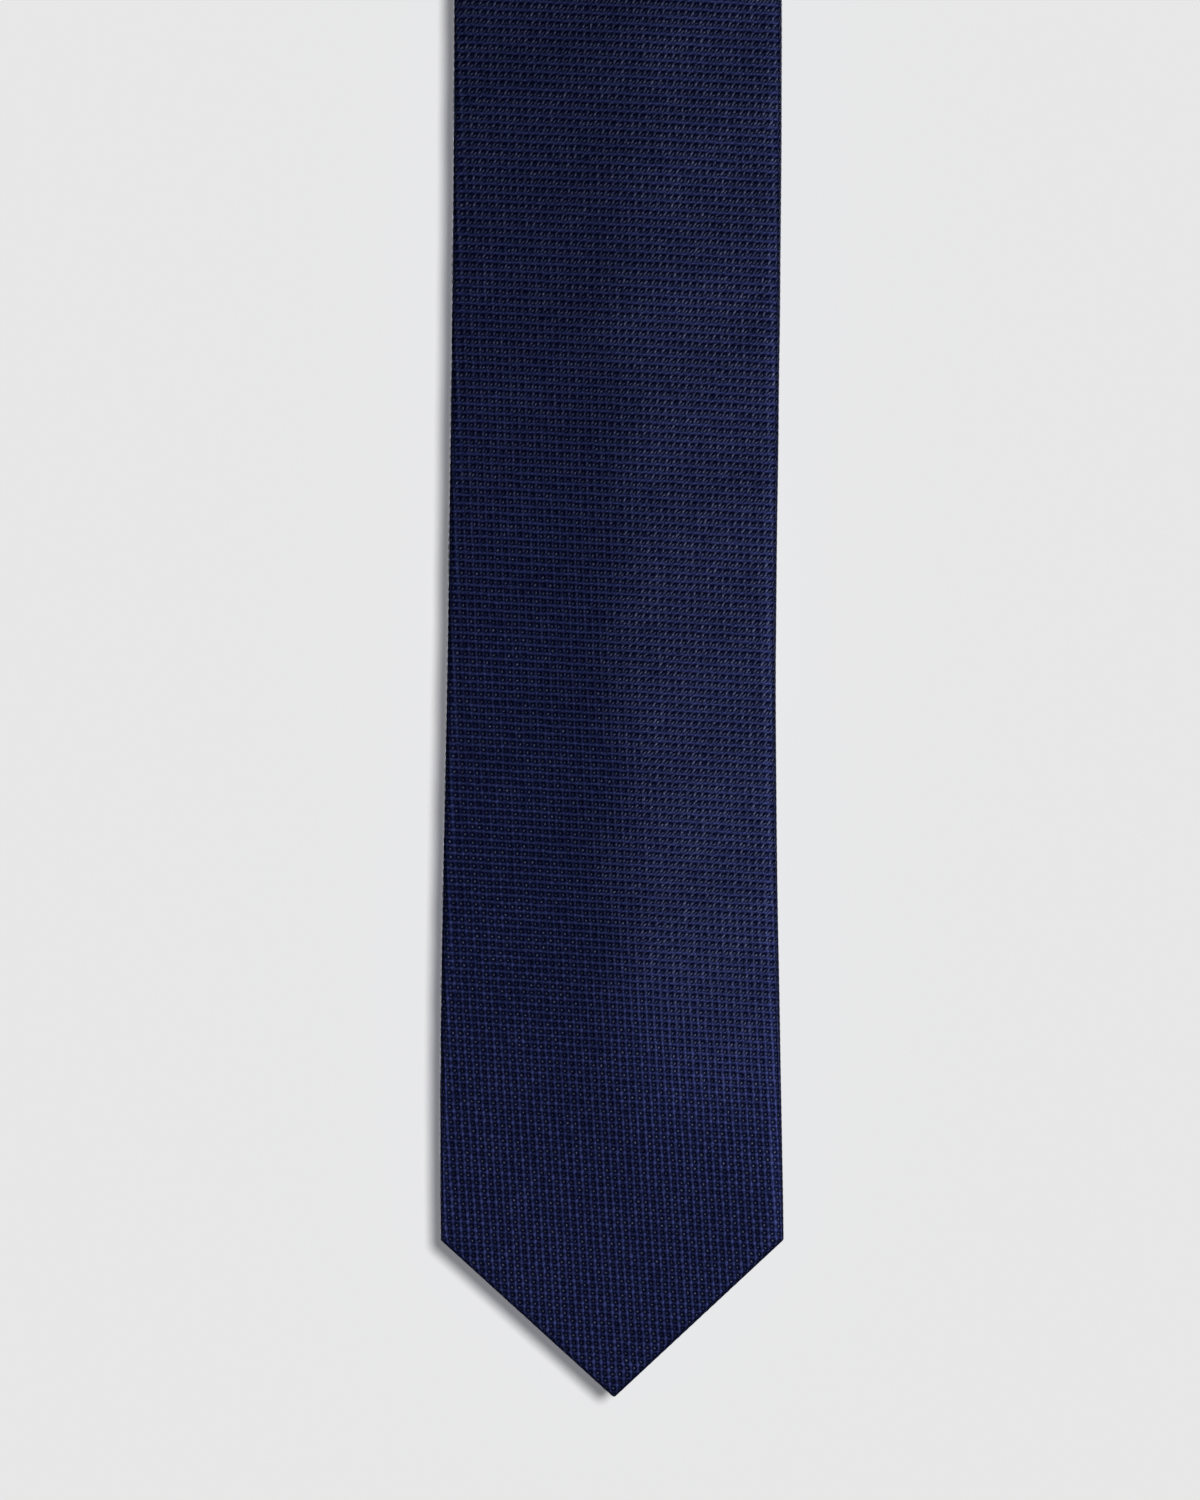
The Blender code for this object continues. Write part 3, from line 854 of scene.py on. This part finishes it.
def make_label_satin():
    """The woven label's black satin, with a plain raised border and nothing else on it."""
    cloth = Cloth("woven_label_satin", 0.4, Specular_IOR_Level=0.4)
    u, s = cloth.u, cloth.s
    half_width = (LABEL_HIGH.x - LABEL_LOW.x) / 2 * MM
    half_length = (LABEL_HIGH.z - LABEL_LOW.z) / 2 * MM
    middle = (LABEL_HIGH.z + LABEL_LOW.z) / 2 * MM + BLADE_HANG * MM
    inset_u = half_width - u.math("ABSOLUTE")
    inset_s = half_length - (s - middle).math("ABSOLUTE")
    inset = inset_u.math("MINIMUM", inset_s)
    border = (inset - 3.0).bump(0.35) + (inset - 3.9).bump(0.18)
    rib = (s * 5.5 + cloth.noise(u * 0.4, s * 0.4, 1.0) * 0.5).wave()
    float_yarn = cloth.noise(u * 0.9, s * 7.0, 4.0, 2.0)
    colour = cloth.mix(rib * 0.4 + float_yarn * 0.8 + 0.3, LABEL_BLACK, LABEL_GREY)
    colour = cloth.mix(border, colour, LABEL_BORDER)
    return cloth.finish(colour, rib * 0.4 + float_yarn * 0.5 + border * 1.5, LABEL_RELIEF)


def make_wool():
    """Natural wool interlining: an open plain weave with a brushed, fibrous face."""
    cloth = Cloth("wool_interlining", 0.95, Sheen_Weight=0.2)
    u, s = cloth.u, cloth.s
    fibre = cloth.noise(u * 2.4, s * 2.4, 4.0, 4.0)
    column = u * 0.85 + cloth.noise(u * 0.6, s * 0.6, 2.0) * 0.3
    row = s * 0.85 + cloth.noise(u * 0.6, s * 0.6, 6.0) * 0.3
    weave = column.wave() * row.wave() + (1.0 - column.wave()) * (1.0 - row.wave())
    colour = cloth.mix(weave * 0.6 + fibre * 0.9 + 0.25, WOOL_DARK, WOOL_LIGHT)
    return cloth.finish(colour, weave + fibre * 1.2, WOOL_RELIEF)


def make_thread():
    """Twisted navy silk thread: slanting plies with a little gloss."""
    cloth = Cloth("navy_thread", 0.5, Specular_IOR_Level=0.4, Sheen_Weight=0.1)
    twist = cloth.s * 1.9 + cloth.u * 1.8
    ply = twist.wave().math("POWER", 0.7)
    fibre = cloth.noise(cloth.u * 6.0, cloth.s * 3.0, 2.0, 2.0)
    colour = cloth.mix(ply * 0.8 + fibre * 0.6, THREAD_DARK, THREAD_LIGHT)
    return cloth.finish(colour, ply + fibre * 0.4, THREAD_RELIEF)


def new_collection(name):
    collection = bpy.data.collections.new(name)
    bpy.context.scene.collection.children.link(collection)
    return collection


TIE, WALL, FLOOR = (new_collection(name) for name in ("necktie", "wall", "floor"))

SILK = make_silk()
TIPPING_SATIN = make_satin("navy_satin_tipping", TIPPING_DARK, TIPPING_LIGHT, 0.32, True)
WOOL = make_wool()
THREAD_MATERIAL = make_thread()
LABEL_SATIN = make_label_satin()
CARE_SATIN = make_satin("care_label_satin", CARE_DARK, CARE_LIGHT, 0.30, False)


# Cloth pieces


def make_end(end, name, node, body, places):
    """The silk of the blade or the tail, whose rows above the hem lie at the given places."""
    rows = end_rows(end, places)
    piece = sheet_piece(name, rows, CLOTH, SILK, body, node, end.place)
    declare_sheet(rows)


def make_blade_and_tail():
    low = BLADE.corner(TIGHT_ROLL + CLOTH / 2)[1]
    places = [s for s in weave_places(low, FINE_TO) if s > low + 0.0001] + upper_places(BLADE, FINE_TO)
    make_end(BLADE, "front_blade_silk", "front_blade_shell", "root", places)
    low = TAIL.corner(TIGHT_ROLL + CLOTH / 2)[1]
    places = [*spaced(low, TAIL_FINE_TO, TAIL_STEP)[1:], *upper_places(TAIL, TAIL_FINE_TO)]
    make_end(TAIL, "tail_blade_silk", "tail_blade_shell", "tail", places)


BEND_FROM = BLADE_STRAIGHT - 0.008
BEND_TO = BLADE_STRAIGHT + BEND_LENGTH + 0.008


def make_gusset():
    """The neck piece: one cut, made as its face and its two flaps, since the face bends further out."""
    start = BLADE_SEAM + SEAM_GROOVE / 2
    end = TAIL_SEAM - SEAM_GROOVE / 2
    places = [start + ahead for ahead in reversed(SEAM_ROWS)]
    places += [*spaced(start + BEFORE_SEAM, BEND_FROM, INSIDE_STEP)]
    places += [*spaced(BEND_FROM, BEND_TO, BEND_STEP)[1:-1]]
    places += [*spaced(BEND_TO, end - BEFORE_SEAM, INSIDE_STEP)] + seam_places(end)
    rows = []
    for s in places:
        shear = 1 - min((s - start) / SHEAR_LENGTH, (end - s) / SHEAR_LENGTH, 1.0)
        rows.append(gusset_row(s, shear))
    tuck_in(rows, 0, 1)
    tuck_in(rows, -1, -2)
    rows = np.array(rows)
    left = FLAP_STEPS + ROLL_STEPS // 2
    right = left + ROLL_STEPS + 2 * FACE_STEPS
    for name, part in (
        ("neck_gusset_silk", rows[:, left : right + 1]),
        ("neck_gusset_left_flap_silk", rows[:, : left + 1]),
        ("neck_gusset_right_flap_silk", rows[:, right:]),
    ):
        piece = sheet_piece(name, part, CLOTH, SILK, None, "neck_gusset_shell")
        bend_at_neck(piece, part[..., 2].min() - CLOTH / 2)
        declare_sheet(part)


def bend_at_neck(piece, lowest):
    """Bakes a piece's placement into its mesh; it does not bend it. lowest is how near the rail's surface its
    straight stretches come.
    """
    reach = RAIL_RADIUS + lowest - BEND_CLEARANCE
    -reach
    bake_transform(piece)


def flat_layer(end, inset, level, places, crown):
    """Rows of a flat layer inside the tie: its pointed end, then a row at each place."""
    corner_x, corner_s = end.corner(inset)
    tip = end.tip(inset)
    spans = [(s, corner_x * (s - tip) / (corner_s - tip)) for s in spaced(tip, corner_s, LINING_STEP)]
    spans += [(s, end.half_width(s) - inset) for s in places if s > corner_s + 0.0002]
    rows = []
    for s, half in spans:
        x = half * np.linspace(-1.0, 1.0, 17)
        rows.append(np.stack([np.full_like(x, s), x, level + crown(s, x), x], -1))
    return rows


def padding_crown(s, x):
    """The wool follows the blade's ridge, but stays off the layers under it."""
    return np.maximum(blade_crown(min(s, BLADE_SEAM), x), -GAP)


def make_padding():
    """The wool inside the blade and over the neck, and the wool inside the tail."""
    join = PADDING_JOIN - JOIN_GAP
    places = [*spaced(PADDING_FROM, BEND_FROM, INSIDE_STEP)]
    places += [*spaced(BEND_FROM, BEND_TO, INSIDE_BEND_STEP)[1:]]
    places += [*spaced(BEND_TO, join, INSIDE_STEP)[1:]]
    rows = flat_layer(BLADE, PADDING_INSET, PADDING_LEVEL, places, padding_crown)
    piece = sheet_piece("front_interlining_wool", rows, PADDING, WOOL, None, "front_interlining")
    bend_at_neck(piece, PADDING_LEVEL - GAP - PADDING / 2)
    declare_sheet(rows)
    places = spaced(TAIL_PADDING_FROM, TOTAL_LENGTH - PADDING_JOIN - JOIN_GAP, INSIDE_STEP)
    rows = flat_layer(TAIL, PADDING_INSET, PADDING_LEVEL, places, tail_crown)
    piece = sheet_piece("tail_interlining_wool", rows, PADDING, WOOL, "tail", "tail_interlining", on_tail)
    declare_sheet(rows)


def make_tipping(end, name, node, body, top):
    """The satin that shows on the back between the flaps, with faint puckers along it."""

    def puckers(s, x):
        fade = 1 - smooth(0.6, 1.0, abs(x) / end.half)
        return PUCKER * np.sin(2 * math.pi * (s / PUCKER_LENGTH + x / PUCKER_WIDTH)) * fade

    places = spaced(end.corner(TIPPING_INSET)[1], top, LINING_STEP)
    rows = flat_layer(end, TIPPING_INSET, TIPPING_LEVEL, places, puckers)
    piece = sheet_piece(name, rows, LINING, TIPPING_SATIN, body, node, end.place)
    declare_sheet(rows)


def make_keeper():
    """A doubled band of the silk, whose feet lie on the blade's back and whose middle stands off it."""
    foot = -GAP - KEEPER_CLOTH / 2
    room = KEEPER_HIGH.y - KEEPER_CLOTH / 2 + RAIL_RADIUS + foot
    low, high = KEEPER_LOW.z + BLADE_HANG, KEEPER_HIGH.z + BLADE_HANG
    x = np.linspace(KEEPER_LOW.x, KEEPER_HIGH.x, 91)
    rise = 1 - smooth(KEEPER_CROWN, KEEPER_FOOT, np.abs(x))
    rows = []
    for share in np.linspace(-1.0, 1.0, 19):
        waist = KEEPER_WAIST * share * np.cos(math.pi / 2 * x / KEEPER_HIGH.x)
        s = (low + high) / 2 + (high - low) / 2 * share - waist
        puff = KEEPER_PUFF * (math.sqrt(1 - share * share) - 1)
        rows.append(np.stack([s, x, foot - (room + puff) * rise, x], -1))
    piece = sheet_piece("keeper_loop_silk", rows, KEEPER_CLOTH, SILK, "root", "keeper_loop")
    anchor = (0.0, -RAIL_RADIUS - foot, 0.0)
    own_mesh(piece)
    declare_sheet(rows)


def label_rows(box, crown):
    """Rows of a label in a CAD label's box, with crown(across, up) how far it stands off the blade."""
    low, high = box[0].z + BLADE_HANG, box[1].z + BLADE_HANG
    level = -RAIL_RADIUS - (box[0].y + box[1].y) / 2
    rows = []
    for share in np.linspace(0.0, 1.0, 25):
        across = np.linspace(-1.0, 1.0, 41)
        x = across * box[1].x
        t = level - crown(across, share)
        rows.append(np.stack([np.full_like(x, low + (high - low) * share), x, t, x], -1))
    return rows


def woven_crown(across, up):
    """The woven label stands off in a low wave, but lies close where the care label hangs from it."""
    wave = 1 + 0.5 * np.cos(across * 7.0) * math.sin(math.pi * up)
    return LABEL_RISE * np.cos(across * math.pi / 2) * wave * smooth(0.0, 0.35, up)


def care_crown(across, up):
    """The care label curls outwards, most at its two free corners."""
    return CARE_CURL * (1 - up) ** 2 + CARE_CORNER_CURL * across * across * (1 - up)


def make_labels():
    rows = label_rows((LABEL_LOW, LABEL_HIGH), woven_crown)
    piece = sheet_piece("woven_label_satin", rows, LABEL_CLOTH, LABEL_SATIN, "root", "woven_label")
    declare_sheet(rows)
    rows = label_rows((CARE_LOW, CARE_HIGH), care_crown)
    piece = sheet_piece("care_label_satin", rows, CARE_CLOTH, CARE_SATIN, "care_label", "care_label")
    declare_sheet(rows)


# Stitches

HEM_STITCH_PITCH = 0.0024
SLIP_STITCH_PITCH = 0.012
BETWEEN_FLAPS = 0.00066
SLIP_STITCH_LOWEST = -0.00022
DASH = 0.0020
DASH_GAP = 0.0007
DASH_LIFT = (0.0, 0.00016, 0.0)


def dashes(points):
    """A running stitch on a line of points in space: short arcs that stand a little proud of it."""
    path = round_path(points, 0.0002)
    length = lengths_along(path)
    pitch = DASH + DASH_GAP
    count = max(int((length[-1] + DASH_GAP) / pitch), 1)
    start = (length[-1] - count * pitch + DASH_GAP) / 2
    for number in range(count):
        places = start + number * pitch + DASH * np.linspace(0.0, 1.0, 5)
        stitch = np.stack([np.interp(places, length, path[:, axis]) for axis in range(3)], -1)
        yield stitch + np.outer((-0.5, 0.6, 1.0, 0.6, -0.5), DASH_LIFT)


def hem_stitches(end):
    """Slanting stitches over the hem's inner edge, which hold it to the tipping."""
    corner_x, corner_s = end.corner(end.hem)
    count = round(math.hypot(corner_x, corner_s - end.tip(end.hem)) / HEM_STITCH_PITCH)
    slant = 0.010 * np.linspace(-1.0, 1.0, 5)
    inset = end.hem + np.array((-0.0008, -0.0005, 0.0001, 0.0006, 0.0009))
    t = np.array((0.0003, -0.0001, -0.0001, 0.0010, TIPPING_LEVEL))
    for side in (-1, 1):
        for number in range(count):
            share = (number + 0.6) / count
            x = (end.half - inset) * (share + slant)
            s = end.tip(inset) + x / math.tan(end.tip_angle)
            yield end.place(s, side * x, t)


def satin_bar(place, s, x, level, length, width, along_x):
    """A bar tack: stitches packed side by side along a bar, each one across it."""
    across = width * np.linspace(-0.5, 0.5, 5)
    slant = 0.00012 * np.linspace(-1.0, 1.0, 5)
    t = level + np.array((0.0004, 0.00005, -0.00005, 0.00005, 0.0004))
    for step in np.linspace(-0.5, 0.5, round(length / (TACK_THREAD * 1.05))):
        along = length * step + slant
        if along_x:
            yield place(s + across, x + along, t)
        else:
            yield place(s + along, x + across, t)


def slip_stitch(low, high):
    """One loose thread that runs between the flaps and comes out over the upper one's edge to catch it."""
    count = round((high - low) / SLIP_STITCH_PITCH)
    along = np.array((0.0, 0.0045, 0.0080, 0.0092, 0.0101, 0.0110))
    x = -FLAP_OVERLAP + np.array((-0.0002, -0.0002, -0.0006, 0.0000, 0.0006, 0.0002))
    t = np.array((BETWEEN_FLAPS, BETWEEN_FLAPS, 0.00035, SLIP_STITCH_LOWEST, 0.00010, BETWEEN_FLAPS))
    s = (low + (high - low) / count * np.arange(count)[:, None] + along).ravel()
    return on_tie(s, np.tile(x, count), np.tile(t, count))


def cross_seam(s):
    """The thread in the groove of a bias seam, from flap edge to flap edge round the face."""
    row = turned_in(gusset_row(s, 1.0), SEAM_DIP * 0.7)
    return on_tie(row[:, 0], row[:, 1], row[:, 2])


def make_hems_and_seams():
    thread_piece("front_hem_stitches", hem_stitches(BLADE), THREAD, "root", "front_tip_seam_thread")
    thread_piece("tail_hem_stitches", hem_stitches(TAIL), THREAD, "tail", "tail_tip_seam_thread")
    thread_piece("blade_seam_stitches", [cross_seam(BLADE_SEAM)], THREAD, "root", "blade_gusset_seam_thread")
    thread_piece("tail_seam_stitches", [cross_seam(TAIL_SEAM)], THREAD, "tail", "gusset_tail_seam_thread")


def make_tacks():
    """The bar tacks that end the back seam, and those at the keeper loop's two ends."""
    for name, end, body in (("front_bar_tack", BLADE, "root"), ("tail_bar_tack", TAIL, "tail")):
        bar = satin_bar(end.place, end.open_to + 0.004, 0.0, -0.0002, 0.0096, 0.0026, True)
        thread_piece(f"{name}_stitches", bar, TACK_THREAD, body, name)
    middle = (KEEPER_LOW.z + KEEPER_HIGH.z) / 2 + BLADE_HANG
    level = -GAP - KEEPER_CLOTH - 0.00015
    for side, word in ((-1, "left"), (1, "right")):
        bar = satin_bar(on_tie, middle, side * KEEPER_TACK_AT, level, 0.008, 0.0022, False)
        thread_piece(f"keeper_tack_{word}_stitches", bar, TACK_THREAD, "root", f"keeper_loop_tack_{word}")


def make_label_stitches():
    level = -GAP - LABEL_CLOTH - 0.0001
    low, high = LABEL_LOW.z + BLADE_HANG, LABEL_HIGH.z + BLADE_HANG
    for side, word in ((-1, "left"), (1, "right")):
        line = on_tie(spaced(low + 0.0006, high - 0.0006, 0.002), side * (LABEL_HIGH.x - 0.0015), level)
        node = f"woven_label_stitch_{word}"
        thread_piece(f"{node}es", dashes(line), THREAD, "root", node)
    line = on_tie(low + 0.002, spaced(CARE_LOW.x, CARE_HIGH.x, 0.002), level - 0.0003)
    thread_piece("care_label_stitches", dashes(line), THREAD, "root", "care_label_stitch")


def make_inner_stitches():
    """The zigzag that joins the two interlinings, and the loose thread that closes the back seam."""
    half = NECK_WIDTH / 2 - PADDING_INSET
    sides = np.where(np.arange(15) % 2, 0.0011, -0.0011)
    level = PADDING_LEVEL - PADDING / 2 - 0.0001
    join = on_tie(PADDING_JOIN + sides, np.linspace(-half, half, 15), level)
    thread_piece("interlining_join_stitches", [join], THREAD, "tail", "interlining_join_stitch")
    line = slip_stitch(BLADE.open_to + 0.012, TOTAL_LENGTH - TAIL.open_to - 0.012)
    piece = thread_piece("slip_stitches", [line], THREAD, None, "slip_stitch_thread", step=0.0006)
    bend_at_neck(piece, SLIP_STITCH_LOWEST - THREAD / 2)


# The stage


def make_stage():
    """A pale wall close behind the tie, seen only from the front, and a pale floor under both."""
    pale = bpy.data.materials.new("pale_wall")
    pale.use_nodes = True
    tree = pale.node_tree
    shader = tree.nodes["Principled BSDF"]
    shader.inputs["Base Color"].default_value = (*WALL_COLOUR, 1.0)
    shader.inputs["Roughness"].default_value = 1.0
    shader.inputs["Specular IOR Level"].default_value = 0.0
    floor_pale = pale.copy()
    floor_pale.name = "pale_floor"
    behind = tree.nodes.new("ShaderNodeNewGeometry")
    clear = tree.nodes.new("ShaderNodeBsdfTransparent")
    choose = tree.nodes.new("ShaderNodeMixShader")
    tree.links.new(behind.outputs["Backfacing"], choose.inputs[0])
    tree.links.new(shader.outputs[0], choose.inputs[1])
    tree.links.new(clear.outputs[0], choose.inputs[2])
    tree.links.new(choose.outputs[0], tree.nodes["Material Output"].inputs["Surface"])
    floor_z = -BLADE_HANG - FLOOR_BELOW_TIP
    half = STAGE_SIZE / 2
    corners = [(-half, -half, 0), (half, -half, 0), (half, half, 0), (-half, half, 0)]
    for name, middle, turn, material, collection in (
        ("wall", (0.0, WALL_Y, floor_z + STAGE_SIZE / 2), math.pi / 2, pale, WALL),
        ("floor", (0.0, 0.0, floor_z), 0.0, floor_pale, FLOOR),
    ):
        mesh = bpy.data.meshes.new(name)
        mesh.from_pydata(corners, [], [(0, 1, 2, 3)])
        mesh.materials.append(material)
        plane = bpy.data.objects.new(name, mesh)
        plane.location = middle
        plane.rotation_euler = (turn, 0.0, 0.0)
        plane.visible_shadow = False
        plane.visible_diffuse = False
        plane.visible_glossy = False
        collection.objects.link(plane)


def add_light(name, strength, receivers, azimuth, height, size):
    """A sun azimuth degrees to the right of straight ahead of the face, height degrees up and size across."""
    data = bpy.data.lights.new(name, "SUN")
    data.energy = strength
    data.angle = math.radians(size)
    light = bpy.data.objects.new(name, data)
    azimuth, height = math.radians(azimuth), math.radians(height)
    level = math.cos(height)
    towards = Vector((math.sin(azimuth) * level, -math.cos(azimuth) * level, math.sin(height)))
    light.location = towards
    light.rotation_euler = towards.to_track_quat("Z", "Y").to_euler()
    light.light_linking.receiver_collection = receivers
    bpy.context.scene.collection.objects.link(light)


def make_lights():
    """The wall and the tie each have their own lights, as on a photographer's two-part set."""
    add_light("wall_key", WALL_LIGHT * 0.76, WALL, 8.4, 11.3, 8.3)
    add_light("wall_fill", WALL_LIGHT * 0.24, WALL, 0.0, 0.0, 1.0)
    add_light("floor_light", WALL_LIGHT, FLOOR, 0.0, 80.0, 40.0)
    add_light("tie_key", 0.45, TIE, 25.0, -4.0, 10.0)
    add_light("tie_fill", 0.42, TIE, -42.0, -14.0, 30.0)
    add_light("tie_rim", 0.35, TIE, 95.0, -15.0, 20.0)
    add_light("tie_back", 2.0, TIE, 155.0, 25.0, 25.0)
    add_light("tie_back_fill", 1.0, TIE, 195.0, 5.0, 30.0)
    world = bpy.data.worlds.new("pale_room")
    world.use_nodes = True
    bpy.context.scene.world = world
    tree = world.node_tree
    background = tree.nodes["Background"]
    background.inputs["Color"].default_value = (*PAPER, 1.0)
    rays = tree.nodes.new("ShaderNodeLightPath")
    strength = tree.nodes.new("ShaderNodeMapRange")
    strength.inputs["To Min"].default_value = ROOM_LIGHT
    strength.inputs["To Max"].default_value = 1.0
    tree.links.new(rays.outputs["Is Camera Ray"], strength.inputs["Value"])
    tree.links.new(strength.outputs["Result"], background.inputs["Strength"])


def make_camera():
    """Square on to the blade's face and level, a little under a metre away, looking at its lower end."""
    data = bpy.data.cameras.new("camera")
    data.lens = 100.0
    data.sensor_width = 36.0
    camera = bpy.data.objects.new("camera", data)
    camera.location = (CAMERA_X, BLADE_LOW.y - CAMERA_DISTANCE, -BLADE_HANG + CAMERA_ABOVE_TIP)
    camera.rotation_euler = (math.pi / 2, 0.0, 0.0)
    bpy.context.scene.collection.objects.link(camera)
    bpy.context.scene.camera = camera


make_blade_and_tail()
make_gusset()
make_padding()
make_tipping(BLADE, "front_tipping_satin", "front_tipping", "root", FRONT_TIPPING_TO)
make_tipping(TAIL, "tail_tipping_satin", "tail_tipping", "tail", TAIL_TIPPING_TO)
make_keeper()
make_labels()
make_hems_and_seams()
make_tacks()
make_label_stitches()
make_inner_stitches()
make_stage()
make_lights()
make_camera()
bpy.context.scene.view_settings.view_transform = "Standard"
